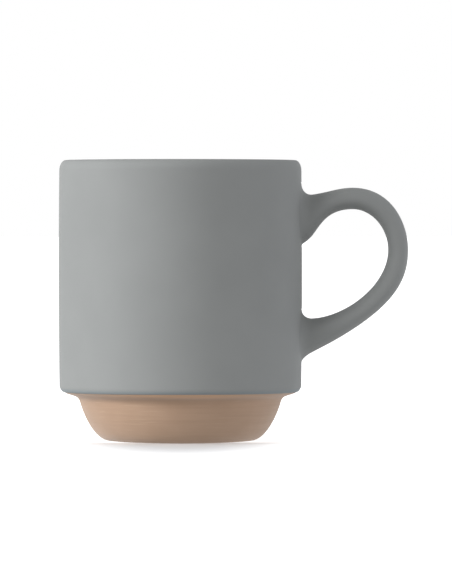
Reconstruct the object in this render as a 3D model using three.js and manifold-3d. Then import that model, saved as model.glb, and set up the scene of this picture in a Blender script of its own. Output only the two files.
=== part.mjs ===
// Stackable stoneware mug: a straight glazed wall with a rounded rim, an oval ear handle luted on with
// slip, and a narrower foot of bare clay that drops inside the rim of the mug below it.
// Millimetres, +Z up. The origin is on the cup's axis at table level, and the handle points along +X.

import * as THREE from 'three';
import { mergeGeometries, mergeVertices, toCreasedNormals } from 'three/addons/utils/BufferGeometryUtils.js';
import Module from 'manifold-3d';

const wasm = await Module();
wasm.setup();

// Cup, over the glaze. The bulge is how far the wall swells between its two ends
const mugHeight = 92.5;
const bodyDiameter = 80.4;
const wallBulge = 0.2;
const glazeThickness = 0.4;

// Clay wall and rim: a flat crest, rounded tightly inside and drawn down in a longer curve outside
const wallThickness = 3.5;
const rimLand = 1.0;
const rimInnerRadius = 0.75;
const rimOuterDrop = 3.1;
const coatSeamBelowRim = 3.0;

// Lower corner of the wall, and the shoulder under it that rests on the rim of the mug below
const cornerHeight = 18.35;
const cornerRadius = 3.1;
const shoulderSlope = 17.5;
const glazeRoundCorner = 32;
const glazeEdgeThickness = 0.12;

// Foot, which drops inside the rim of the mug below with this clearance all round
const stackingClearance = 2.0;
const neckFillet = 1.5;
const footTaper = 16.5;
const footTuck = 9.65;
const footFullness = 0.76;
const footRoll = 0.17;
const footRingWidth = 3.5;
const recessDepth = 0.6;
const recessEdge = 0.8;

// Bowl inside the cup: it leaves the straight wall above the corner and runs in to a flat floor
const floorThickness = 4.6;
const bowlAboveCorner = 11.65;
const bowlRun = 16.05;
const bowlSidePull = 0.4;
const bowlFloorPull = 0.38;

// Handle in side view, over the glaze. Reaches are from the wall
const handleBelowRim = 9.1;
const handleCrestReach = 17.0;
const handleReach = 35.3;
const furthestBelowCrest = 20.6;
const crestThickness = 7.1;
const furthestThickness = 6.6;
const upperRootBelowCrest = 2.55;
const upperRootHeight = 15.3;
const lowerRootAboveCorner = 8.9;
const lowerRootHeight = 13.1;

// Directions in which the handle's two sides leave the wall, in degrees above the level
const upperRootAngles = { outer: 2, inner: 0 };
const lowerRootAngles = { outer: 25.6, inner: -8 };

// How straight each side runs off its root, crest and furthest point, and on to the next, as shares of
// the stretch between the two
const outerPulls = {
  offRoot: 0.43, toCrest: 0.33,
  offCrest: 0.46, toFurthest: 0.33,
  offFurthest: 0.21, toRoot: 0.68,
};
const innerPulls = {
  offRoot: 0.26, toCrest: 0.6,
  offCrest: 0.33, toFurthest: 0.43,
  offFurthest: 0.34, toRoot: 0.34,
};

// Handle across: an oval, squarer than an ellipse where the squareness is over 2
const rootWidth = 14.4;
const crestWidth = 12.4;
const furthestWidth = 11.4;
const ovalSquareness = 2.3;

// Slip joints: the layer between handle and wall, and the fillet pressed out round it
const slipThickness = 0.5;
const slipFeather = 0.12;
const filletReach = 3.5;
const filletBeside = 2.6;
const upperFillet = { outer: 3.8, inner: 1.2 };
const lowerFillet = { outer: 1.6, inner: 2.5 };

// Fineness of the curves in the half sections, of the turning, and of the handle's sections
const curveSteps = {
  foot: 6, neck: 3, shoulder: 3, corner: 3,
  wall: 2, rimOutside: 4, rimInside: 2, bowl: 6,
};
const turnSteps = 56;
const ovalSteps = 18;
const filletSteps = 5;
const riseSections = 4;
const riseCrowding = 1.3;
const turnSections = 6;
const fallSections = 10;
const firstSectionPastFillet = 1.1;
const creaseAngle = 35;

// Sizes that follow from the ones above
const wallRadius = bodyDiameter / 2 - wallBulge;
const clayRadius = wallRadius - glazeThickness;
const clayInsideRadius = clayRadius - wallThickness;
const clayRimHeight = mugHeight - glazeThickness;
const clayWallTop = clayRimHeight - rimOuterDrop;
const clayFloorHeight = recessDepth + floorThickness;
const neckRadius = clayInsideRadius - glazeThickness - stackingClearance;
const footRingRadius = neckRadius - footTuck;
const crestHeight = mugHeight - handleBelowRim;
const upperRootTop = crestHeight - upperRootBelowCrest;
const lowerRootBottom = cornerHeight + lowerRootAboveCorner;
const rootDepth = glazeThickness + wallThickness / 3;

// Points in a half section have a radius and a height, and directions are in degrees above the level
const point = (radius, height) => new THREE.Vector2(radius, height);
const radians = THREE.MathUtils.degToRad;
const onwards = (from, degrees, distance) =>
  point(from.x + distance * Math.cos(radians(degrees)), from.y + distance * Math.sin(radians(degrees)));
const easeBetween = (from, to, share) => from + (to - from) * THREE.MathUtils.smoothstep(share, 0, 1);

// Points on a curve without its first one, which ends the stretch before it
const along = (curve, steps) => curve.getPoints(steps).slice(1);

function arc({ x, y }, radiusOut, radiusUp, from, to, steps) {
  const [start, end] = [radians(from), radians(to)];
  return along(new THREE.EllipseCurve(x, y, radiusOut, radiusUp, start, end, to < from), steps);
}

const cornerCentre = point(clayRadius - cornerRadius, cornerHeight);
const cornerArc = (from, to, steps) => arc(cornerCentre, cornerRadius, cornerRadius, from, to, steps);
const shoulderEnd = onwards(cornerCentre, shoulderSlope - 90, cornerRadius);
const glazeLine = onwards(cornerCentre, -glazeRoundCorner, cornerRadius);

// Bare clay from the middle of the underside out over the foot ring, up the foot and under the shoulder
function bareOutline() {
  const shoulderLength = (shoulderEnd.x - neckRadius) / Math.cos(radians(shoulderSlope));
  const neck = onwards(shoulderEnd, 180 + shoulderSlope, shoulderLength);
  const filletTop = onwards(neck, shoulderSlope, neckFillet);
  const footTop = onwards(neck, -90 - footTaper, neckFillet);
  const foot = new THREE.CubicBezierCurve(
    point(footRingRadius, 0),
    point(footRingRadius + footRoll * footTop.y, 0),
    onwards(footTop, -90 - footTaper, footFullness * footTop.y),
    footTop,
  );
  return [
    point(0, recessDepth),
    point(footRingRadius - footRingWidth - recessEdge, recessDepth),
    point(footRingRadius - footRingWidth, 0),
    point(footRingRadius, 0),
    ...along(foot, curveSteps.foot),
    ...along(new THREE.QuadraticBezierCurve(footTop, neck, filletTop), curveSteps.neck),
    shoulderEnd,
    ...cornerArc(shoulderSlope - 90, -glazeRoundCorner, curveSteps.shoulder),
  ];
}

// Clay under the outer coat, from the glaze line up the wall and over the rim to the seam with the liner
function coatedOutline() {
  const rimOut = wallThickness - rimLand - rimInnerRadius;
  const rimOuterCentre = point(clayRadius - rimOut, clayWallTop);
  const landInside = point(clayInsideRadius + rimInnerRadius, clayRimHeight);
  const rimInnerCentre = onwards(landInside, -90, rimInnerRadius);
  const wall = new THREE.QuadraticBezierCurve(
    point(clayRadius, cornerHeight),
    point(clayRadius + 2 * wallBulge, (cornerHeight + clayWallTop) / 2),
    point(clayRadius, clayWallTop),
  );
  return [
    glazeLine,
    ...cornerArc(-glazeRoundCorner, 0, curveSteps.corner),
    ...along(wall, curveSteps.wall),
    ...arc(rimOuterCentre, rimOut, rimOuterDrop, 0, 90, curveSteps.rimOutside),
    landInside,
    ...arc(rimInnerCentre, rimInnerRadius, rimInnerRadius, 90, 180, curveSteps.rimInside),
    point(clayInsideRadius, mugHeight - coatSeamBelowRim),
  ];
}

// Clay under the liner, from the seam down the inside wall and the bowl to the middle of the floor
function linedOutline() {
  const bowlTop = cornerHeight + bowlAboveCorner;
  const bowlDepth = bowlTop - clayFloorHeight;
  const floorRadius = clayInsideRadius - bowlRun;
  const bowl = new THREE.CubicBezierCurve(
    point(clayInsideRadius, bowlTop),
    point(clayInsideRadius, bowlTop - bowlSidePull * bowlDepth),
    point(floorRadius + bowlFloorPull * bowlRun, clayFloorHeight),
    point(floorRadius, clayFloorHeight),
  );
  return [
    point(clayInsideRadius, mugHeight - coatSeamBelowRim),
    point(clayInsideRadius, bowlTop),
    ...along(bowl, curveSteps.bowl),
    point(0, clayFloorHeight),
  ];
}

// Moves an outline to its right by a thickness at each point, square to the outline there
function grownBy(outline, thicknessAt) {
  const last = outline.length - 1;
  return outline.map((here, k) => {
    const arriving = here.clone().sub(outline[Math.max(k - 1, 0)]).normalize();
    const leaving = outline[Math.min(k + 1, last)].clone().sub(here).normalize();
    if (k === 0) arriving.copy(leaving);
    if (k === last) leaving.copy(arriving);
    const right = point(arriving.y + leaving.y, -arriving.x - leaving.x).normalize();
    const mitre = right.dot(point(arriving.y, -arriving.x));
    return here.clone().addScaledVector(right, thicknessAt(k) / mitre);
  });
}

// Turns an outline about the cup's axis
function turned(outline) {
  return new THREE.LatheGeometry(outline, turnSteps).rotateX(Math.PI / 2);
}

// A closed geometry as a solid that can be joined and cut, and back
function solidOf(geometry) {
  const bare = geometry.clone();
  bare.deleteAttribute('normal');
  bare.deleteAttribute('uv');
  const merged = mergeVertices(bare);
  const triVerts = [];
  for (let k = 0; k < merged.index.count; k += 3) {
    const [a, b, c] = [0, 1, 2].map((n) => merged.index.getX(k + n));
    if (a !== b && b !== c && c !== a) triVerts.push(a, b, c);
  }
  return new wasm.Manifold(new wasm.Mesh({
    numProp: 3,
    vertProperties: new Float32Array(merged.attributes.position.array),
    triVerts: new Uint32Array(triVerts),
  }));
}

function geometryOf(solid) {
  const mesh = solid.getMesh();
  const geometry = new THREE.BufferGeometry();
  geometry.setAttribute('position', new THREE.BufferAttribute(mesh.vertProperties, 3));
  geometry.setIndex(new THREE.BufferAttribute(mesh.triVerts, 1));
  return geometry;
}

// A coat as a closed skin: the clay surface turned inside out, the glaze surface over it, and its two edges
function coatSkin(clay, glaze) {
  const under = turned(clay);
  under.index.array.reverse();
  return solidOf(mergeGeometries([
    under,
    turned(glaze),
    turned([clay[0], glaze[0]]),
    turned([glaze.at(-1), clay.at(-1)]),
  ]));
}

// One side of the handle in the plane of its bend: up to its crest, round to its furthest point, and
// down to its lower root
function handleSide(upperRoot, upperAngle, crest, furthest, lowerRoot, lowerAngle, pulls) {
  const rise = upperRoot.distanceTo(crest);
  const turn = crest.distanceTo(furthest);
  const fall = furthest.distanceTo(lowerRoot);
  return {
    rising: new THREE.CubicBezierCurve(
      upperRoot,
      onwards(upperRoot, upperAngle, pulls.offRoot * rise),
      onwards(crest, 180, pulls.toCrest * rise),
      crest,
    ),
    turning: new THREE.CubicBezierCurve(
      crest,
      onwards(crest, 0, pulls.offCrest * turn),
      onwards(furthest, 90, pulls.toFurthest * turn),
      furthest,
    ),
    falling: new THREE.CubicBezierCurve(
      furthest,
      onwards(furthest, -90, pulls.offFurthest * fall),
      onwards(lowerRoot, lowerAngle, pulls.toRoot * fall),
      lowerRoot,
    ),
  };
}

const outerSide = handleSide(
  point(wallRadius, upperRootTop),
  upperRootAngles.outer,
  point(wallRadius + handleCrestReach, crestHeight),
  point(wallRadius + handleReach, crestHeight - furthestBelowCrest),
  point(wallRadius, lowerRootBottom),
  lowerRootAngles.outer,
  outerPulls,
);
const innerSide = handleSide(
  point(wallRadius, upperRootTop - upperRootHeight),
  upperRootAngles.inner,
  point(wallRadius + handleCrestReach, crestHeight - crestThickness),
  point(wallRadius + handleReach - furthestThickness, crestHeight - furthestBelowCrest),
  point(wallRadius, lowerRootBottom + lowerRootHeight),
  lowerRootAngles.inner,
  innerPulls,
);

// Where a side curve that ends on the wall passes a radius, found by halving the stretch it must be in
// until nothing is left between. Inside the wall the curve runs straight on
function atRadius(curve, radius) {
  const rising = curve.v0.x < curve.v3.x;
  const [root, pull] = rising ? [curve.v0, curve.v1] : [curve.v3, curve.v2];
  if (radius <= root.x) {
    return root.clone().addScaledVector(pull.clone().sub(root), (radius - root.x) / (pull.x - root.x));
  }
  let [within, beyond] = rising ? [0, 1] : [1, 0];
  let share = 0.5;
  while (share !== within && share !== beyond) {
    if (curve.getPoint(share).x < radius) within = share;
    else beyond = share;
    share = (within + beyond) / 2;
  }
  return curve.getPoint(share);
}

// Distances from the wall at which a fillet is cut, closest where it curves most, after one inside the wall
const filletDistances = [-rootDepth];
for (let k = 0; k <= filletSteps; k += 1) {
  filletDistances.push(filletReach * (1 - Math.cos((k / filletSteps) * (Math.PI / 2))));
}

// Sections of the handle in order along it, with distances from a wall of the given radius
function rootSection(stretch, wall, distance, width, fillet) {
  const radius = wall + distance;
  return {
    outer: atRadius(outerSide[stretch], radius),
    inner: atRadius(innerSide[stretch], radius),
    width,
    distance,
    fillet,
  };
}

function upperRootSections(wall) {
  return filletDistances.map((distance) => rootSection('rising', wall, distance, rootWidth, upperFillet));
}

function lowerRootSections(wall) {
  const distances = filletDistances.toReversed();
  return distances.map((distance) => rootSection('falling', wall, distance, rootWidth, lowerFillet));
}

function archSections(wall) {
  const sections = [];
  const riseLength = wallRadius + handleCrestReach - wall - filletReach;
  for (let k = 1; k <= riseSections; k += 1) {
    const share = (k / riseSections) ** riseCrowding;
    const width = easeBetween(rootWidth, crestWidth, share);
    sections.push(rootSection('rising', wall, filletReach + share * riseLength, width, upperFillet));
  }
  for (const [stretch, steps, startWidth, endWidth] of [
    ['turning', turnSections, crestWidth, furthestWidth],
    ['falling', fallSections, furthestWidth, rootWidth],
  ]) {
    for (let k = 1; k <= steps; k += 1) {
      const outer = outerSide[stretch].getPoint(k / steps);
      const inner = innerSide[stretch].getPoint(k / steps);
      const distance = Math.min(outer.x, inner.x) - wall;
      const width = easeBetween(startWidth, endWidth, k / steps);
      if (distance > firstSectionPastFillet * filletReach) {
        sections.push({ outer, inner, width, distance, fillet: lowerFillet });
      }
    }
  }
  return sections;
}

const handleSections = (wall) =>
  [...upperRootSections(wall), ...archSections(wall), ...lowerRootSections(wall)];

// How far a fillet stands off the handle at a distance from the wall: a quarter round, tangent to both
function filletAt(distance, leg) {
  const inwards = 1 - THREE.MathUtils.clamp(distance / filletReach, 0, 1);
  return leg * (1 - Math.sqrt(1 - inwards * inwards));
}

const noFillet = () => 0;
const slipFillet = (distance, leg) => Math.max(filletAt(distance, leg), slipFeather);

const squared = (share) => Math.sign(share) * Math.abs(share) ** (2 / ovalSquareness);

// The oval of one section, grown all round and spread by its fillet. Near a root it is bent round the wall
function ovalRing(section, wall, growth, flare) {
  const { outer, inner, width, distance, fillet } = section;
  const outwards = outer.clone().sub(inner).normalize();
  const outerEdge = outer.clone().addScaledVector(outwards, growth + flare(distance, fillet.outer));
  const innerEdge = inner.clone().addScaledVector(outwards, -growth - flare(distance, fillet.inner));
  const middle = outerEdge.clone().lerp(innerEdge, 0.5);
  const halfHeight = outerEdge.distanceTo(innerEdge) / 2;
  const halfWidth = width / 2 + growth + flare(distance, filletBeside);
  const bent = easeBetween(1, 0, distance / rootWidth);
  const ring = [];
  for (let k = 0; k < ovalSteps; k += 1) {
    const angle = (k / ovalSteps) * 2 * Math.PI;
    const height = halfHeight * squared(Math.cos(angle));
    const side = halfWidth * squared(Math.sin(angle));
    const fallBack = bent * (wall - Math.sqrt(wall * wall - side * side));
    const place = middle.clone().addScaledVector(outwards, height);
    ring.push(new THREE.Vector3(place.x - fallBack, side, place.y));
  }
  return ring;
}

// A closed form through rings of equal length, with a fan over each end
function lofted(rings) {
  const centreOf = (ring) => new THREE.Box3().setFromPoints(ring).getCenter(new THREE.Vector3());
  const points = [...rings.flat(), centreOf(rings[0]), centreOf(rings.at(-1))];
  const startCentre = points.length - 2;
  const endCentre = points.length - 1;
  const endRing = (rings.length - 1) * ovalSteps;
  const index = [];
  for (let k = 0; k < ovalSteps; k += 1) {
    const next = (k + 1) % ovalSteps;
    index.push(startCentre, k, next, endCentre, endRing + next, endRing + k);
    for (let row = 0; row < endRing; row += ovalSteps) {
      index.push(row + k, row + ovalSteps + k, row + next);
      index.push(row + next, row + ovalSteps + k, row + ovalSteps + next);
    }
  }
  const geometry = new THREE.BufferGeometry().setFromPoints(points);
  geometry.setIndex(index);
  return solidOf(geometry);
}

const coated = coatedOutline();
const lined = linedOutline();

// The cup's outside as a full solid, grown by a layer, to trim what meets the wall
function cupBlank(layer) {
  const outside = grownBy(coated.slice(0, -2 - curveSteps.rimInside), () => layer);
  return solidOf(turned([point(0, outside[0].y), ...outside, point(0, outside.at(-1).y)]));
}

const barRings = handleSections(clayRadius).map((s) => ovalRing(s, clayRadius, -glazeThickness, noFillet));
const glazedRings = handleSections(wallRadius).map((s) => ovalRing(s, wallRadius, 0, filletAt));
const slipRings = (sections) => sections.map((s) => ovalRing(s, clayRadius, -glazeThickness, slipFillet));

const clayCup = solidOf(turned([...bareOutline().slice(0, -1), ...coated, ...lined.slice(1)]));
const clayBar = lofted(barRings);
const clayHandle = clayBar.subtract(cupBlank(slipThickness));
const upperSlip = lofted(slipRings(upperRootSections(clayRadius)));
const lowerSlip = lofted(slipRings(lowerRootSections(clayRadius)));

// A slip joint fills what the handle leaves between its end and the wall
const slipJoint = (form) => form.subtract(clayHandle).subtract(cupBlank(0));

// One unbroken coat over wall, rim, handle and joints. It thins round the corner to its wiped edge
function outerGlaze() {
  const upCorner = (k) => Math.min(k / curveSteps.corner, 1);
  const thickness = (k) => THREE.MathUtils.lerp(glazeEdgeThickness, glazeThickness, upCorner(k));
  return coatSkin(coated, grownBy(coated, thickness))
    .add(lofted(glazedRings).subtract(cupBlank(0)))
    .subtract(clayBar)
    .subtract(upperSlip)
    .subtract(lowerSlip);
}

const innerGlaze = () => coatSkin(lined, grownBy(lined, () => glazeThickness));

const bareClay = () => new THREE.MeshStandardMaterial({ color: 0xa98c75, roughness: 0.85, metalness: 0 });
const driedSlip = () => new THREE.MeshStandardMaterial({ color: 0x9c8069, roughness: 0.9, metalness: 0 });
const greyGlaze = () => new THREE.MeshStandardMaterial({ color: 0x8a8c8b, roughness: 0.55, metalness: 0 });
const linerGlaze = () => new THREE.MeshStandardMaterial({ color: 0x8f9190, roughness: 0.45, metalness: 0 });

function piece(name, solid, material) {
  const mesh = new THREE.Mesh(toCreasedNormals(geometryOf(solid), radians(creaseAngle)), material);
  mesh.name = name;
  return mesh;
}

const mug = new THREE.Group();
mug.add(
  piece('clay_cup', clayCup, bareClay()),
  piece('clay_handle', clayHandle, bareClay()),
  piece('upper_slip_joint', slipJoint(upperSlip), driedSlip()),
  piece('lower_slip_joint', slipJoint(lowerSlip), driedSlip()),
  piece('outer_glaze', outerGlaze(), greyGlaze()),
  piece('inner_glaze', innerGlaze(), linerGlaze()),
);

export default mug;
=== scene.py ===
# A stackable stoneware mug, dressed for a plain studio photograph.
# Metres and degrees throughout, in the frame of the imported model: +Z up, the handle towards +X.

import math

import bmesh
import bpy
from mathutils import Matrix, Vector, noise


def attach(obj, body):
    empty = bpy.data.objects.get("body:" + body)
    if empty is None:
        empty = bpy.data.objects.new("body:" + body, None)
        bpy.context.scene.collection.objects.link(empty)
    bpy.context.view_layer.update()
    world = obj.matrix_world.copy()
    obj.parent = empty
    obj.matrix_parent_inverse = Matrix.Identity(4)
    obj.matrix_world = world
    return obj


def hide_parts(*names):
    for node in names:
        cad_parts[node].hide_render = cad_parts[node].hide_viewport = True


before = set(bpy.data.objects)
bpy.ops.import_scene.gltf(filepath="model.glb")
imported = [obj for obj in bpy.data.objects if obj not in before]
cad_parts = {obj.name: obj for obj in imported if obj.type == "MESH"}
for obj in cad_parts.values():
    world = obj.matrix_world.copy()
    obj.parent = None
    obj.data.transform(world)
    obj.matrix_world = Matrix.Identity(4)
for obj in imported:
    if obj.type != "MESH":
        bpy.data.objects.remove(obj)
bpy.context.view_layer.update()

# Cup over the glaze
mug_height = 0.0925
wall_radius = 0.04
wall_bulge = 0.0002
glaze_thickness = 0.0004
wall_thickness = 0.0035
rim_land = 0.001
rim_inner_radius = 0.00075
rim_outer_drop = 0.0031
coat_seam_below_rim = 0.003

# Clay under the glaze
clay_radius = wall_radius - glaze_thickness
clay_inside_radius = clay_radius - wall_thickness
clay_rim_height = mug_height - glaze_thickness
clay_wall_top = clay_rim_height - rim_outer_drop
seam_height = mug_height - coat_seam_below_rim

# Lower corner and stacking shoulder
corner_height = 0.01835
corner_radius = 0.0031
corner_centre = (clay_radius - corner_radius, corner_height)
shoulder_slope = 17.5
glaze_round_corner = 38
glaze_dip_at_sides = 9
glaze_edge_thickness = 0.00012
glaze_bead_steps = 10

# Foot
neck_radius = 0.0337
neck_fillet = 0.0015
foot_taper = 16.5
foot_ring_radius = 0.02405
foot_fullness = 0.76
foot_roll = 0.17
foot_ring_width = 0.0035
recess_depth = 0.0006
recess_edge = 0.0008

# Turning rings on the foot, and the noise that they come from
ring_pitch = 0.00115
ring_height = 0.00003
ring_waver = 0.0004
ring_fade = 0.002
patch_height = 0.003
patch_cells = 2.0
waver_cells = 1.5
waver_level = 4.0
wave_spot = (0.3, 0.7)
cells_per_ring = 2

# Bowl inside the cup
floor_height = 0.0052
bowl_top = 0.03
bowl_run = 0.01605
bowl_side_pull = 0.4
bowl_floor_pull = 0.38

# Handle in side view, over the glaze, with each root as its lower and upper height on the wall
crest = (0.057, 0.0834)
furthest = (0.0753, 0.0628)
crest_thickness = 0.0071
furthest_thickness = 0.0066
upper_root = (0.06555, 0.08085)
lower_root = (0.02725, 0.04035)
upper_root_angles = {"outer": 2, "inner": 0}
lower_root_angles = {"outer": 25.6, "inner": -8}
outer_pulls = {
    "off_root": 0.43, "to_crest": 0.33,
    "off_crest": 0.46, "to_furthest": 0.33,
    "off_furthest": 0.21, "to_root": 0.68,
}
inner_pulls = {
    "off_root": 0.26, "to_crest": 0.6,
    "off_crest": 0.33, "to_furthest": 0.43,
    "off_furthest": 0.34, "to_root": 0.34,
}

# Handle across
root_width = 0.0144
crest_width = 0.0124
furthest_width = 0.0114
oval_squareness = 2.15
fillet_reach = 0.0035
fillet_beside = 0.0026
upper_fillet = {"outer": 0.0038, "inner": 0.0012}
lower_fillet = {"outer": 0.0016, "inner": 0.0025}
fillet_clearance = 1.02
root_margin = 0.0006

# Fineness
turn_steps = 288
oval_steps = 72
fillet_steps = 12
halvings = 50
weld_distance = 2e-7
crease_angle = 40
bar_steps = {"rising": 18, "turning": 36, "falling": 55}
steps_along = {
    "recess": 10, "recess_edge": 4, "foot_ring": 4, "foot": 110, "neck": 8, "shoulder": 8, "bare_corner": 8,
    "coated_corner": 12, "wall": 76, "rim_outside": 14, "rim_land": 3, "rim_inside": 8, "above_seam": 3,
    "inside_wall": 30, "bowl": 36, "floor": 12,
}

# Values between which nearly all of a noise lies, and a narrower pair that gives more contrast
noise_range = (0.3, 0.7)
narrow_noise_range = (0.35, 0.65)

# How far to the left or right of the cup's axis the paler band of painted bounce light under the glaze line
# starts to fade, and where it is gone
bounce_light_fade = (0.01, 0.032)

# The photograph's camera, with its lens in millimetres
camera_distance = 1.6
camera_height = 0.076
camera_lens = 298.33
camera_tilt = 0.9696
camera_turn = 0.5399

# The floor, and the two places along Y between which its light on the mug changes
floor_reach = 12.0
light_edge = (-0.12, -0.08)

# The oval in which the floor's glow is held down to paint the mug's shadow over the lamps' own shadow, and
# how many times its size the fading takes
painted_shadow_half_size = (0.0141, 0.043)
painted_shadow_fade = 3.8

# Behind the mug's front the painted shadow is fainter
painted_shadow_back = (-0.0248, -0.0145)
light_behind = 0.84

# Colours of the studio
white = (1.0, 1.0, 1.0)
cool_white = (0.96, 0.98, 1.04)
floor_grey = (0.82, 0.82, 0.83)


# Half sections are lists of (radius, height), directions are degrees above the level.
# Each stretch leaves out its first point, which is the last one of the stretch before it.

def onwards(start, degrees, distance):
    """The point at a distance from a start."""
    turn = math.radians(degrees)
    return (start[0] + distance * math.cos(turn), start[1] + distance * math.sin(turn))


def between(a, b, share):
    return tuple(p + (q - p) * share for p, q in zip(a, b))


def ease(share):
    """A share that starts and stops gently."""
    share = min(max(share, 0.0), 1.0)
    return share * share * (3 - 2 * share)


def bezier_point(points, share):
    while len(points) > 1:
        points = [between(a, b, share) for a, b in zip(points, points[1:])]
    return points[0]


def bezier(points, steps):
    return [bezier_point(points, k / steps) for k in range(1, steps + 1)]


def straight(start, end, steps):
    return [between(start, end, k / steps) for k in range(1, steps + 1)]


def arc(centre, radius_out, radius_up, start, end, steps):
    """Part of an oval, from one direction to another."""
    points = []
    for k in range(1, steps + 1):
        turn = math.radians(start + (end - start) * k / steps)
        points.append((centre[0] + radius_out * math.cos(turn), centre[1] + radius_up * math.sin(turn)))
    return points


def bare_outline():
    """Bare clay from the middle of the underside over the foot ring, up the foot and under the shoulder."""
    shoulder_end = onwards(corner_centre, shoulder_slope - 90, corner_radius)
    shoulder_length = (shoulder_end[0] - neck_radius) / math.cos(math.radians(shoulder_slope))
    neck = onwards(shoulder_end, 180 + shoulder_slope, shoulder_length)
    fillet_top = onwards(neck, shoulder_slope, neck_fillet)
    foot_top = onwards(neck, -90 - foot_taper, neck_fillet)
    ring_inside = (foot_ring_radius - foot_ring_width, 0.0)
    recess_side = (ring_inside[0] - recess_edge, recess_depth)
    foot = [
        (foot_ring_radius, 0.0),
        (foot_ring_radius + foot_roll * foot_top[1], 0.0),
        onwards(foot_top, -90 - foot_taper, foot_fullness * foot_top[1]),
        foot_top,
    ]
    bare_corner = (shoulder_slope - 90, -glaze_round_corner)
    return [
        (0.0, recess_depth),
        *straight((0.0, recess_depth), recess_side, steps_along["recess"]),
        *straight(recess_side, ring_inside, steps_along["recess_edge"]),
        *straight(ring_inside, (foot_ring_radius, 0.0), steps_along["foot_ring"]),
        *bezier(foot, steps_along["foot"]),
        *bezier([foot_top, neck, fillet_top], steps_along["neck"]),
        *straight(fillet_top, shoulder_end, steps_along["shoulder"]),
        *arc(corner_centre, corner_radius, corner_radius, *bare_corner, steps_along["bare_corner"]),
    ]


def coated_outline():
    """Clay under the outer coat, from the glaze line up the wall and over the rim to the seam."""
    coated_corner = (-glaze_round_corner, 0)
    rim_out = wall_thickness - rim_land - rim_inner_radius
    land_outside = (clay_radius - rim_out, clay_rim_height)
    land_inside = (clay_inside_radius + rim_inner_radius, clay_rim_height)
    rim_outer_centre = onwards(land_outside, -90, rim_outer_drop)
    rim_inner_centre = onwards(land_inside, -90, rim_inner_radius)
    rim_inner_end = (clay_inside_radius, rim_inner_centre[1])
    wall = [
        (clay_radius, corner_height),
        (clay_radius + 2 * wall_bulge, (corner_height + clay_wall_top) / 2),
        (clay_radius, clay_wall_top),
    ]
    return [
        onwards(corner_centre, -glaze_round_corner, corner_radius),
        *arc(corner_centre, corner_radius, corner_radius, *coated_corner, steps_along["coated_corner"]),
        *bezier(wall, steps_along["wall"]),
        *arc(rim_outer_centre, rim_out, rim_outer_drop, 0, 90, steps_along["rim_outside"]),
        *straight(land_outside, land_inside, steps_along["rim_land"]),
        *arc(rim_inner_centre, rim_inner_radius, rim_inner_radius, 90, 180, steps_along["rim_inside"]),
        *straight(rim_inner_end, (clay_inside_radius, seam_height), steps_along["above_seam"]),
    ]


def lined_outline():
    """Clay under the liner, from the seam down the inside wall and the bowl to the middle of the floor."""
    floor_radius = clay_inside_radius - bowl_run
    bowl_depth = bowl_top - floor_height
    bowl = [
        (clay_inside_radius, bowl_top),
        (clay_inside_radius, bowl_top - bowl_side_pull * bowl_depth),
        (floor_radius + bowl_floor_pull * bowl_run, floor_height),
        (floor_radius, floor_height),
    ]
    seam = (clay_inside_radius, seam_height)
    return [
        seam,
        *straight(seam, (clay_inside_radius, bowl_top), steps_along["inside_wall"]),
        *bezier(bowl, steps_along["bowl"]),
        *straight((floor_radius, floor_height), (0.0, floor_height), steps_along["floor"]),
    ]


def grown(outline, thicknesses):
    """The outline moved to its right by a thickness at each point, square to the outline there."""
    moved = []
    for k, (here, thickness) in enumerate(zip(outline, thicknesses)):
        before = outline[max(k - 1, 0)]
        after = outline[min(k + 1, len(outline) - 1)]
        way = Vector((after[0] - before[0], after[1] - before[1])).normalized()
        moved.append((here[0] + way.y * thickness, here[1] - way.x * thickness))
    return moved


# Meshes

def place_round(radius, height, turn):
    return Vector((radius * math.cos(turn), radius * math.sin(turn), height))


def turned_rows(outline, shape=None):
    """An outline turned about the cup's axis, as rows of points, which a shape may move."""
    rows = []
    for radius, height in outline:
        row = []
        for k in range(turn_steps):
            turn = 2 * math.pi * k / turn_steps
            point = place_round(radius, height, turn)
            row.append(shape(point, turn) if shape else point)
        rows.append(row)
    return rows


def all_points(rows):
    return [point for row in rows for point in row]


def skin_rows(rows, first):
    """Faces between neighbouring rows of points, the first of which is numbered first."""
    count = len(rows[0])
    faces = []
    for r in range(len(rows) - 1):
        for k in range(count):
            low = first + r * count
            high = low + count
            beside = (k + 1) % count
            faces.append((low + k, low + beside, high + beside, high + k))
    return faces


def mesh_piece(name, points, faces, material, slot, *nodes):
    """A mesh that rides on the mug, stands for the nodes it is given and shades smoothly."""
    mesh = bpy.data.meshes.new(name)
    mesh.from_pydata([tuple(p) for p in points], [], faces)
    welded = bmesh.new()
    welded.from_mesh(mesh)
    bmesh.ops.remove_doubles(welded, verts=welded.verts, dist=weld_distance)
    bmesh.ops.recalc_face_normals(welded, faces=welded.faces)
    welded.to_mesh(mesh)
    welded.free()
    mesh.polygons.foreach_set("use_smooth", [True] * len(mesh.polygons))
    mesh.set_sharp_from_angle(angle=math.radians(crease_angle))
    mesh.materials.append(material)
    piece = bpy.data.objects.new(name, mesh)
    bpy.context.scene.collection.objects.link(piece)
    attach(piece, "root")
    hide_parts(*nodes)


def coat_piece(name, outer, inner, faces, edges, material, slot, *nodes):
    """A coat of glaze as a closed skin: its outside, its inside turned over, and the strips at its edges."""
    count = len(outer)
    inside = [tuple(count + v for v in reversed(face)) for face in faces]
    strips = [(a, b, count + b, count + a) for a, b in edges]
    mesh_piece(name, outer + inner, faces + inside + strips, material, slot, *nodes)


# Cup body and liner

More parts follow.
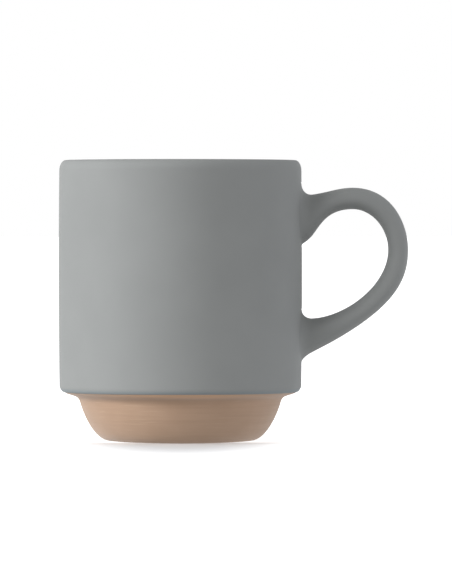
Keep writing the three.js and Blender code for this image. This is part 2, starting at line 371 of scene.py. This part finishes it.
def foot_rings(point, turn):
    """The faint turning rings that the trimming tool leaves on the foot, which come and go round it.

    They also run over the clay inside the cup at the same heights, where the liner hides them.
    """
    above_start = point.z - recess_depth
    below_end = corner_height - corner_radius - point.z
    if min(above_start, below_end) <= 0:
        return point
    # A noise mostly stays between -0.5 and 0.5
    waver = ring_waver * noise.noise(place_round(waver_cells, waver_level, turn))
    strength = 0.5 + noise.noise(place_round(patch_cells, point.z / patch_height, turn))
    wave = 2 * noise.noise(Vector((*wave_spot, cells_per_ring * (point.z + waver) / ring_pitch)))
    fade = ease(above_start / ring_fade) * ease(below_end / ring_fade)
    return place_round(point.xy.length + ring_height * wave * strength * fade, point.z, turn)


def stoneware_cup(material):
    """The clay cup as one surface, which goes on under the glaze."""
    outline = bare_outline() + coated_outline()[1:] + lined_outline()[1:]
    rows = turned_rows(outline, foot_rings)
    faces = skin_rows(rows, 0)
    mesh_piece("stoneware_cup", all_points(rows), faces, material, "bare_stoneware", "clay_cup")


def liner_coat(material):
    """The glaze inside the cup, below the seam."""
    clay = lined_outline()
    outer = turned_rows(grown(clay, [glaze_thickness] * len(clay)))
    inner = turned_rows(clay)
    faces = skin_rows(outer, 0)
    edges = [(k, (k + 1) % turn_steps) for k in range(turn_steps)]
    coat_piece(
        "liner_coat", all_points(outer), all_points(inner), faces, edges,
        material, "liner_glaze", "inner_glaze",
    )


# Handle

def handle_side(upper, upper_angle, top, far, lower, lower_angle, pulls):
    """One side of the handle in the plane of its bend, as three curves from its upper to its lower root."""
    rise = math.dist(upper, top)
    turn = math.dist(top, far)
    fall = math.dist(far, lower)
    return {
        "rising": [
            upper,
            onwards(upper, upper_angle, pulls["off_root"] * rise),
            onwards(top, 180, pulls["to_crest"] * rise),
            top,
        ],
        "turning": [
            top,
            onwards(top, 0, pulls["off_crest"] * turn),
            onwards(far, 90, pulls["to_furthest"] * turn),
            far,
        ],
        "falling": [
            far,
            onwards(far, -90, pulls["off_furthest"] * fall),
            onwards(lower, lower_angle, pulls["to_root"] * fall),
            lower,
        ],
    }


def handle_sides():
    """The handle's outer and its inner side."""
    outer = handle_side(
        (wall_radius, upper_root[1]), upper_root_angles["outer"], crest, furthest,
        (wall_radius, lower_root[0]), lower_root_angles["outer"], outer_pulls,
    )
    inner = handle_side(
        (wall_radius, upper_root[0]), upper_root_angles["inner"],
        (crest[0], crest[1] - crest_thickness), (furthest[0] - furthest_thickness, furthest[1]),
        (wall_radius, lower_root[1]), lower_root_angles["inner"], inner_pulls,
    )
    return outer, inner


def at_radius(points, radius):
    """Where a side curve that has one end on the wall passes a radius."""
    within, beyond = (0.0, 1.0) if points[0][0] < points[-1][0] else (1.0, 0.0)
    for _ in range(halvings):
        middle = (within + beyond) / 2
        if bezier_point(points, middle)[0] < radius:
            within = middle
        else:
            beyond = middle
    return bezier_point(points, within)


def wall_swell(height):
    """How far the wall stands out of its straight line at a height."""
    share = (height - corner_height) / (clay_wall_top - corner_height)
    return wall_bulge * 4 * share * (1 - share)


def fillet_at(distance, leg):
    """How far a fillet stands off the handle at a distance from the wall: a quarter round."""
    inwards = 1 - min(max(distance / fillet_reach, 0.0), 1.0)
    return leg * (1 - math.sqrt(1 - inwards * inwards))


def squared(share):
    """A sine or cosine, changed so that it draws an oval with fuller corners."""
    return math.copysign(abs(share) ** (2 / oval_squareness), share)


def handle_sections():
    """Sections along the handle as (outer edge, inner edge, width, fillet)."""
    sides = handle_sides()

    def edges_at(stretch, radius):
        return [at_radius(side[stretch], radius) for side in sides]

    fillet_distances = [
        fillet_reach * (1 - math.cos(math.pi / 2 * k / fillet_steps)) for k in range(fillet_steps + 1)
    ]
    sections = []

    # The upper fillet
    for distance in fillet_distances:
        sections.append((*edges_at("rising", wall_radius + distance), root_width, upper_fillet))

    # The free bar, which ends a little before the lower fillet starts
    rise = crest[0] - wall_radius - fillet_reach
    for k in range(1, bar_steps["rising"] + 1):
        share = k / bar_steps["rising"]
        edges = edges_at("rising", wall_radius + fillet_reach + rise * share)
        sections.append((*edges, root_width + (crest_width - root_width) * ease(share), upper_fillet))
    for stretch, start, end in (
        ("turning", crest_width, furthest_width),
        ("falling", furthest_width, root_width),
    ):
        for k in range(1, bar_steps[stretch] + 1):
            share = k / bar_steps[stretch]
            edges = [bezier_point(side[stretch], share) for side in sides]
            if min(edge[0] for edge in edges) > wall_radius + fillet_clearance * fillet_reach:
                sections.append((*edges, start + (end - start) * ease(share), lower_fillet))

    # The lower fillet
    for distance in reversed(fillet_distances):
        sections.append((*edges_at("falling", wall_radius + distance), root_width, lower_fillet))
    return sections


def oval_ring(section, growth):
    """The oval of one section, spread by its fillet and bent round the wall where it meets it."""
    outer, inner, width, fillet = section
    distance = min(outer[0], inner[0]) - wall_radius
    outwards = Vector((outer[0] - inner[0], outer[1] - inner[1])).normalized()
    outer_edge = Vector(outer) + outwards * (growth + fillet_at(distance, fillet["outer"]))
    inner_edge = Vector(inner) - outwards * (growth + fillet_at(distance, fillet["inner"]))
    middle = (outer_edge + inner_edge) / 2
    half_height = (outer_edge - inner_edge).length / 2
    half_width = width / 2 + growth + fillet_at(distance, fillet_beside)
    bent = 1 - ease(distance / root_width)
    ring = []
    for k in range(oval_steps):
        turn = 2 * math.pi * k / oval_steps
        side = half_width * squared(math.sin(turn))
        place = middle + outwards * half_height * squared(math.cos(turn))
        fall_back = wall_radius - math.sqrt(wall_radius ** 2 - side ** 2) - wall_swell(place.y)
        ring.append(Vector((place.x - bent * fall_back, side, place.y)))
    return ring


# Outer coat

def direction(away):
    """The direction of a vector, seen from the handle's side."""
    return math.atan2(away.z, away.y)


def turn_between(a, b):
    """The turn from one direction to another, at most half a round either way."""
    return (a - b + math.pi) % (2 * math.pi) - math.pi


def inside_ring(point, ring):
    """Whether a point is within a ring's outline, seen from the handle's side, or near it."""
    middle = sum(ring, Vector()) / len(ring)
    away = point - middle
    nearest = min(ring, key=lambda p: abs(turn_between(direction(p - middle), direction(away))))
    return away.yz.length < (nearest - middle).yz.length + root_margin


def under_handle(corners, roots):
    """Whether a face of the cup's outside lies in or near one of the handle's two end rings."""
    near = [p for p in corners if abs(p.y) < root_width and p.x > 0 and p.xy.length > clay_radius]
    return any(inside_ring(p, ring) for p in near for ring in roots)


def dipped_edge(point, turn):
    """The coat's lower edge, drawn further round the corner of the wall at the cup's two sides."""
    out = point.xy.length - corner_centre[0]
    down = corner_centre[1] - point.z
    if down <= 0:
        return point
    stretch = 1 + glaze_dip_at_sides / glaze_round_corner * math.cos(turn) ** 2
    round_corner = stretch * math.degrees(math.atan2(down, out))
    return place_round(*onwards(corner_centre, -round_corner, math.hypot(out, down)), turn)


def bead_thickness(step):
    """How thick the coat is at a step up from its lower edge, which thins like a bead."""
    share = min(step / glaze_bead_steps, 1)
    return glaze_edge_thickness + (glaze_thickness - glaze_edge_thickness) * math.sqrt(share * (2 - share))


def open_edges(faces):
    """Edges that only one face uses, in the direction in which that face doesn't run."""
    used = set()
    for face in faces:
        for a, b in zip(face, face[1:] + face[:1]):
            used.add((a, b))
    return [(b, a) for a, b in used if (b, a) not in used]


def gap_faces(points, faces):
    """Triangles between each hole in the wall and the end ring of the handle that stands in it."""
    sheet = bmesh.new()
    for point in points:
        sheet.verts.new(point)
    sheet.verts.ensure_lookup_table()
    between_roots = (upper_root[0] + lower_root[1]) / 2
    lips = {"upper": [], "lower": []}
    for a, b in open_edges(faces):
        height = (points[a].z + points[b].z) / 2
        if corner_height < height < clay_wall_top:
            lips["upper" if height > between_roots else "lower"].append((a, b))
    filled = []
    for lip in lips.values():
        edges = [sheet.edges.new((sheet.verts[a], sheet.verts[b])) for a, b in lip]
        made = bmesh.ops.triangle_fill(sheet, use_beauty=True, edges=edges, normal=(1, 0, 0))
        for face in made["geom"]:
            if isinstance(face, bmesh.types.BMFace):
                if face.normal.x < 0:
                    face.normal_flip()
                filled.append(tuple(v.index for v in face.verts))
    sheet.free()
    return filled


def glaze_coat(material):
    """One dip of glaze over wall, rim and handle: the handle's end rings are let into holes in the wall."""
    clay = coated_outline()
    thicknesses = [bead_thickness(k) for k in range(len(clay))]
    wall_outside = turned_rows(grown(clay, thicknesses), dipped_edge)
    wall_inside = turned_rows(clay, dipped_edge)
    sections = handle_sections()
    bar_outside = [oval_ring(s, 0.0) for s in sections]
    bar_inside = [oval_ring(s, -glaze_thickness) for s in sections]
    outer = all_points(wall_outside + bar_outside)
    inner = all_points(wall_inside + bar_inside)

    roots = (bar_outside[0], bar_outside[-1])
    faces = []
    for face in skin_rows(wall_outside, 0):
        if not under_handle([outer[v] for v in face], roots):
            faces.append(face)
    first_of_bar = len(wall_outside) * turn_steps
    faces += [tuple(reversed(face)) for face in skin_rows(bar_outside, first_of_bar)]
    faces += gap_faces(outer, faces)
    edges = open_edges(faces)
    coat_piece("glaze_coat", outer, inner, faces, edges, material, "grey_glaze", "outer_glaze")


# Nodes of a material

def node(tree, kind, **settings):
    made = tree.nodes.new(kind)
    for name, value in settings.items():
        setattr(made, name, value)
    return made


def feed(tree, socket, value):
    """Gives an input a value of its own or another node's output."""
    if isinstance(value, bpy.types.NodeSocket):
        tree.links.new(value, socket)
    else:
        socket.default_value = value


def calculated(tree, operation, *terms):
    made = node(tree, "ShaderNodeMath", operation=operation)
    for socket, term in zip(made.inputs, terms):
        feed(tree, socket, term)
    return made.outputs[0]


def largest(tree, first, *others):
    for value in others:
        first = calculated(tree, "MAXIMUM", first, value)
    return first


def spread(tree, value, found, wanted=(0.0, 1.0), kind="LINEAR"):
    """A value found between two limits, spread between two others."""
    made = node(tree, "ShaderNodeMapRange", interpolation_type=kind)
    feed(tree, made.inputs["Value"], value)
    for label, limit in zip(("From Min", "From Max", "To Min", "To Max"), (*found, *wanted)):
        feed(tree, made.inputs[label], limit)
    return made.outputs["Result"]


def masked(tree, value, starts, full, strength=1.0):
    """A mask that grows from 0 to a strength as a value goes from where it starts to where it is full."""
    return spread(tree, value, (starts, full), (0.0, strength))


def blended(tree, mask, low, high):
    """A colour that goes from low to high as a mask goes to 1. Low can be another node's output."""
    mix = node(tree, "ShaderNodeMix", data_type="RGBA")
    feed(tree, mix.inputs["Factor"], mask)
    feed(tree, mix.inputs["A"], (*low, 1.0) if isinstance(low, tuple) else low)
    feed(tree, mix.inputs["B"], (*high, 1.0))
    return mix.outputs["Result"]


def object_place(tree):
    return node(tree, "ShaderNodeTexCoord").outputs["Object"]


def parts_of(tree, place):
    """The X, Y and Z of a place."""
    parts = node(tree, "ShaderNodeSeparateXYZ")
    tree.links.new(place, parts.inputs[0])
    return parts.outputs


def noise_field(tree, place, scale, detail):
    field = node(tree, "ShaderNodeTexNoise")
    feed(tree, field.inputs["Vector"], place)
    feed(tree, field.inputs["Scale"], scale)
    feed(tree, field.inputs["Detail"], detail)
    return field.outputs["Fac"]


# Effects that the materials share

def group_of(name, inputs, outputs):
    """An empty node group with named inputs, their values, and named outputs."""
    tree = bpy.data.node_groups.new(name, "ShaderNodeTree")
    for label, value in inputs.items():
        socket = tree.interface.new_socket(name=label, in_out="INPUT", socket_type="NodeSocketFloat")
        socket.default_value = value
    for label in outputs:
        tree.interface.new_socket(name=label, in_out="OUTPUT", socket_type="NodeSocketFloat")
    return tree, node(tree, "NodeGroupInput"), node(tree, "NodeGroupOutput")


def grain_group():
    """Fine grain of the body, and slow mottling that comes of the firing."""
    inputs = {"Grain size": 0.0005, "Mottle size": 0.012}
    tree, given, made = group_of("fired_grain", inputs, ["Grain", "Mottle"])
    place = object_place(tree)
    for size, label, detail in (("Grain size", "Grain", 3.0), ("Mottle size", "Mottle", 2.0)):
        scale = calculated(tree, "DIVIDE", 1.0, given.outputs[size])
        tree.links.new(noise_field(tree, place, scale, detail), made.inputs[label])
    return tree


def rings_group():
    """Fine turning rings about the cup's axis, stretched round it and broken up along their length."""
    tree, given, made = group_of("turning_rings", {"Ring pitch": 0.0008, "Break length": 0.03}, ["Rings"])
    parts = parts_of(tree, object_place(tree))
    joined = node(tree, "ShaderNodeCombineXYZ")
    for axis, size in (("X", "Break length"), ("Y", "Break length"), ("Z", "Ring pitch")):
        part = calculated(tree, "DIVIDE", parts[axis], given.outputs[size])
        tree.links.new(part, joined.inputs[axis])
    field = noise_field(tree, joined.outputs[0], scale=1.0, detail=2.0)
    tree.links.new(field, made.inputs["Rings"])
    return tree


def specks_group():
    """Small dark specks of iron, where the middles of a loose pattern's cells come near the surface."""
    tree, given, made = group_of("iron_specks", {"Spacing": 0.004, "Speck share": 0.06}, ["Specks"])
    cells = node(tree, "ShaderNodeTexVoronoi")
    tree.links.new(object_place(tree), cells.inputs["Vector"])
    tree.links.new(calculated(tree, "DIVIDE", 1.0, given.outputs["Spacing"]), cells.inputs["Scale"])
    specks = spread(tree, cells.outputs["Distance"], (given.outputs["Speck share"], 0.0), kind="SMOOTHSTEP")
    tree.links.new(specks, made.inputs["Specks"])
    return tree


def glaze_line_group():
    """0 well under the glaze line and 1 over it, along a line that wavers round the cup."""
    inputs = {"Line height": 0.0164, "Fade": 0.0006, "Waver": 0.0004, "Waver size": 0.02}
    tree, given, made = group_of("glaze_line", inputs, ["Over line"])
    place = object_place(tree)
    parts = parts_of(tree, place)
    scale = calculated(tree, "DIVIDE", 1.0, given.outputs["Waver size"])
    wave = spread(tree, noise_field(tree, place, scale, detail=1.0), noise_range, (-1.0, 1.0))
    height = calculated(tree, "MULTIPLY_ADD", wave, given.outputs["Waver"], parts["Z"])
    line = given.outputs["Line height"]
    start = calculated(tree, "SUBTRACT", line, given.outputs["Fade"])
    tree.links.new(spread(tree, height, (start, line), kind="SMOOTHSTEP"), made.inputs["Over line"])
    return tree


def placed(tree, group, **values):
    """A node group placed in a material with its own values."""
    made = node(tree, "ShaderNodeGroup", node_tree=group)
    for label, value in values.items():
        made.inputs[label.replace("_", " ")].default_value = value
    return made


# Materials

def new_material(name, roughness, specular):
    material = bpy.data.materials.new(name)
    material.use_nodes = True
    tree = material.node_tree
    shader = tree.nodes["Principled BSDF"]
    shader.inputs["Roughness"].default_value = roughness
    shader.inputs["Specular IOR Level"].default_value = specular
    return material, tree, shader


def roughened(tree, shader, grain, smoothest, roughest):
    """Roughness that varies with the grain."""
    tree.links.new(spread(tree, grain, noise_range, (smoothest, roughest)), shader.inputs["Roughness"])


def raised(tree, shader, height, distance, strength, below=None):
    """Relief from a height, over any relief below it."""
    bump = node(tree, "ShaderNodeBump")
    bump.inputs["Distance"].default_value = distance
    bump.inputs["Strength"].default_value = strength
    tree.links.new(height, bump.inputs["Height"])
    if below:
        tree.links.new(below, bump.inputs["Normal"])
    tree.links.new(bump.outputs["Normal"], shader.inputs["Normal"])
    return bump.outputs["Normal"]


def matte_grey_glaze(grain, specks, line):
    """Matte glaze, which thins to a cooler, darker edge just over its line."""
    darker_grey = (0.289, 0.299, 0.297)
    lighter_grey = (0.299, 0.309, 0.307)
    speck_grey = (0.2, 0.2, 0.19)
    edge_grey = (0.268, 0.298, 0.31)
    material, tree, shader = new_material("matte_grey_glaze", roughness=0.7, specular=0.2)
    body = placed(tree, grain, Grain_size=0.0006, Mottle_size=0.016)
    mottle = masked(tree, body.outputs["Mottle"], *narrow_noise_range)
    tone = blended(tree, mottle, darker_grey, lighter_grey)
    flecks = placed(tree, specks, Spacing=0.0035, Speck_share=0.05)
    faint_flecks = masked(tree, flecks.outputs["Specks"], starts=0.0, full=1.0, strength=0.25)
    tone = blended(tree, faint_flecks, tone, speck_grey)
    edge = placed(tree, line, Line_height=0.0177, Fade=0.001, Waver=0.0001, Waver_size=0.02)
    thin_glaze = masked(tree, edge.outputs["Over line"], starts=1.0, full=0.0)
    tone = blended(tree, thin_glaze, tone, edge_grey)
    tree.links.new(tone, shader.inputs["Base Color"])
    roughened(tree, shader, body.outputs["Grain"], smoothest=0.66, roughest=0.74)
    raised(tree, shader, body.outputs["Grain"], distance=0.00002, strength=0.5)
    return material


def liner_glaze(grain):
    """The glaze inside the cup, a little lighter and smoother than the coat."""
    darker_grey = (0.30, 0.31, 0.305)
    lighter_grey = (0.32, 0.33, 0.325)
    material, tree, shader = new_material("liner_glaze", roughness=0.4, specular=0.5)
    body = placed(tree, grain, Grain_size=0.0008, Mottle_size=0.02)
    mottle = masked(tree, body.outputs["Mottle"], *narrow_noise_range)
    tree.links.new(blended(tree, mottle, darker_grey, lighter_grey), shader.inputs["Base Color"])
    roughened(tree, shader, body.outputs["Grain"], smoothest=0.34, roughest=0.42)
    raised(tree, shader, body.outputs["Grain"], distance=0.00001, strength=0.4)
    return material


def painted_light_fainter_at_sides(tree, mask, in_front, at_sides):
    """A mask times a strength that goes down from the cup's front and back to its two sides, so that painted
    bounce light is strongest in front and behind.
    """
    aside = calculated(tree, "ABSOLUTE", parts_of(tree, object_place(tree))["X"])
    return calculated(tree, "MULTIPLY", spread(tree, aside, bounce_light_fade, (in_front, at_sides)), mask)


def bare_stoneware(grain, rings, specks, line):
    """Fired clay with faint turning lines darkened by painted shade in their grooves, lighter streaks, and a
    paler band of painted bounce light under the glaze line.
    """
    darker_clay = (0.442, 0.294, 0.2)
    lighter_clay = (0.477, 0.321, 0.223)
    groove_shade_brown = (0.36, 0.235, 0.155)
    streak_tan = (0.58, 0.42, 0.3)
    speck_brown = (0.24, 0.15, 0.09)
    bounce_light_tan = (0.62, 0.39, 0.248)
    material, tree, shader = new_material("bare_stoneware", roughness=0.6, specular=0.35)
    shader.inputs["Sheen Weight"].default_value = 0.2
    body = placed(tree, grain, Grain_size=0.0004, Mottle_size=0.012)
    mottle = masked(tree, body.outputs["Mottle"], *noise_range)
    tone = blended(tree, mottle, darker_clay, lighter_clay)
    lines = placed(tree, rings, Ring_pitch=0.0009, Break_length=0.04)
    # Painted shade: the turning lines darken where their relief sinks into grooves
    painted_groove_shade = masked(tree, lines.outputs["Rings"], starts=0.5, full=0.25, strength=0.3)
    tone = blended(tree, painted_groove_shade, tone, groove_shade_brown)
    streaks = placed(tree, rings, Ring_pitch=0.0006, Break_length=0.012)
    light_streaks = masked(tree, streaks.outputs["Rings"], starts=0.62, full=0.78, strength=0.4)
    tone = blended(tree, light_streaks, tone, streak_tan)
    flecks = placed(tree, specks, Spacing=0.0022, Speck_share=0.07)
    faint_flecks = masked(tree, flecks.outputs["Specks"], starts=0.0, full=1.0, strength=0.3)
    tone = blended(tree, faint_flecks, tone, speck_brown)
    # Painted bounce light: a paler band just under the glaze line, strongest in front and behind and gone at
    # the sides
    band = placed(tree, line, Line_height=0.0157, Fade=0.0011, Waver=0.0002, Waver_size=0.03)
    painted_bounce_mask = painted_light_fainter_at_sides(tree, band.outputs["Over line"], in_front=0.95, at_sides=0.0)
    tone = blended(tree, painted_bounce_mask, tone, bounce_light_tan)
    tree.links.new(tone, shader.inputs["Base Color"])
    roughened(tree, shader, body.outputs["Grain"], smoothest=0.55, roughest=0.7)
    relief = raised(tree, shader, lines.outputs["Rings"], distance=0.00003, strength=0.3)
    raised(tree, shader, body.outputs["Grain"], distance=0.00002, strength=0.4, below=relief)
    return material


def dried_slip(grain):
    """The slip under the glaze that joins the handle to the cup."""
    darker_brown = (0.33, 0.22, 0.15)
    lighter_brown = (0.39, 0.27, 0.19)
    material, tree, shader = new_material("dried_slip", roughness=0.9, specular=0.3)
    body = placed(tree, grain, Grain_size=0.0003, Mottle_size=0.004)
    mottle = masked(tree, body.outputs["Mottle"], *noise_range)
    tree.links.new(blended(tree, mottle, darker_brown, lighter_brown), shader.inputs["Base Color"])
    raised(tree, shader, body.outputs["Grain"], distance=0.00004, strength=0.6)
    return material


# Studio

def seen_directly(tree):
    """1 for rays that show the background itself: from the camera, in gloss, or through glass."""
    path = node(tree, "ShaderNodeLightPath")
    return largest(tree, *(path.outputs[f"Is {ray} Ray"] for ray in ("Camera", "Glossy", "Transmission")))


def studio_air(ambient):
    """A white background that lights the mug evenly at the ambient level."""
    world = bpy.data.worlds.new("studio_air")
    bpy.context.scene.world = world
    world.use_nodes = True
    tree = world.node_tree
    background = tree.nodes["Background"]
    background.inputs["Color"].default_value = (*white, 1.0)
    strength = spread(tree, seen_directly(tree), (0.0, 1.0), (ambient, 1.0))
    tree.links.new(strength, background.inputs["Strength"])


def past_painted_shadow(tree, place, parts):
    """0 in the middle of the painted shadow under the mug and 1 beyond it."""
    rounded = node(tree, "ShaderNodeVectorMath", operation="DIVIDE")
    tree.links.new(place, rounded.inputs[0])
    rounded.inputs[1].default_value = (*painted_shadow_half_size, 1.0)
    reach = node(tree, "ShaderNodeVectorMath", operation="LENGTH")
    tree.links.new(rounded.outputs["Vector"], reach.inputs[0])
    beyond = spread(tree, reach.outputs["Value"], (1.0, painted_shadow_fade), kind="SMOOTHSTEP")
    behind = spread(tree, parts["Y"], painted_shadow_back, (0.0, light_behind))
    return largest(tree, beyond, behind)


def pale_floor(front_light, back_light, glow_in_painted_shadow, open_glow):
    """A floor that glows where it is seen directly, least in a painted shadow under the mug over the lamps'
    own shadow, and else is a plain light.
    """
    material, tree, shown = new_material("pale_floor", roughness=0.9, specular=0.1)
    shown.inputs["Base Color"].default_value = (*floor_grey, 1.0)
    shown.inputs["Emission Color"].default_value = (*white, 1.0)
    place = object_place(tree)
    parts = parts_of(tree, place)
    # Painted shadow: the glow is held down in an oval under the mug, over the lamps' own shadow
    glow = spread(tree, past_painted_shadow(tree, place, parts), (0.0, 1.0), (glow_in_painted_shadow, open_glow))
    tree.links.new(glow, shown.inputs["Emission Strength"])
    lighting = node(tree, "ShaderNodeEmission")
    strength = spread(tree, parts["Y"], light_edge, (front_light, back_light))
    tree.links.new(strength, lighting.inputs["Strength"])
    either = node(tree, "ShaderNodeMixShader")
    tree.links.new(seen_directly(tree), either.inputs["Fac"])
    tree.links.new(lighting.outputs[0], either.inputs[1])
    tree.links.new(shown.outputs[0], either.inputs[2])
    tree.links.new(either.outputs[0], tree.nodes["Material Output"].inputs["Surface"])
    return material


def studio_floor(material):
    """A wide flat floor under the mug."""
    mesh = bpy.data.meshes.new("studio_floor")
    corners = [(x * floor_reach, y * floor_reach, 0.0) for x, y in ((-1, -1), (1, -1), (1, 1), (-1, 1))]
    mesh.from_pydata(corners, [], [(0, 1, 2, 3)])
    mesh.materials.append(material)
    floor = bpy.data.objects.new("studio_floor", mesh)
    bpy.context.scene.collection.objects.link(floor)


def soft_box(name, azimuth, distance, height, size, power, colour=white):
    """A square soft light at an azimuth round from the camera towards the right, aimed at the mug."""
    light = bpy.data.lights.new(name, "AREA")
    light.shape = "SQUARE"
    light.size = size
    light.energy = power
    light.color = colour
    box = bpy.data.objects.new(name, light)
    turn = math.radians(azimuth)
    box.location = (distance * math.sin(turn), -distance * math.cos(turn), height)
    aim = Vector((0.0, 0.0, mug_height / 2)) - box.location
    box.rotation_euler = aim.to_track_quat("-Z", "Y").to_euler()
    bpy.context.scene.collection.objects.link(box)


def photo_camera():
    """The photograph's camera: far away, a little below the rim, and aimed to the right of the axis."""
    camera = bpy.data.cameras.new("photo_camera")
    camera.lens = camera_lens
    holder = bpy.data.objects.new("photo_camera", camera)
    holder.location = (0.0, -camera_distance, camera_height)
    holder.rotation_euler = (math.radians(90 - camera_tilt), 0.0, math.radians(-camera_turn))
    bpy.context.scene.collection.objects.link(holder)
    bpy.context.scene.camera = holder


photo_camera()
studio_air(ambient=0.43)
studio_floor(pale_floor(front_light=0.3, back_light=0.47, glow_in_painted_shadow=0.053, open_glow=1.0))
soft_box("key_soft_box", azimuth=-75, distance=1.2, height=0.36, size=0.4, power=9.3)
soft_box("front_soft_box", azimuth=-45, distance=1.27, height=0.64, size=0.4, power=5.5)
soft_box("low_soft_box", azimuth=-10, distance=1.3, height=0.15, size=0.6, power=2.6)
soft_box("fill_soft_box", azimuth=95, distance=1.4, height=0.15, size=0.8, power=6.4, colour=cool_white)

fired_grain = grain_group()
turning_rings = rings_group()
iron_specks = specks_group()
glaze_line = glaze_line_group()
clay_finish = bare_stoneware(fired_grain, turning_rings, iron_specks, glaze_line)
slip_finish = dried_slip(fired_grain)

stoneware_cup(clay_finish)
liner_coat(liner_glaze(fired_grain))
glaze_coat(matte_grey_glaze(fired_grain, iron_specks, glaze_line))

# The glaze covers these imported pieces, which keep their shapes
for name, finish in (
    ("clay_handle", clay_finish),
    ("upper_slip_joint", slip_finish),
    ("lower_slip_joint", slip_finish),
):
    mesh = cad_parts[name].data
    mesh.materials.clear()
    mesh.materials.append(finish)

bpy.context.scene.view_settings.view_transform = "Standard"
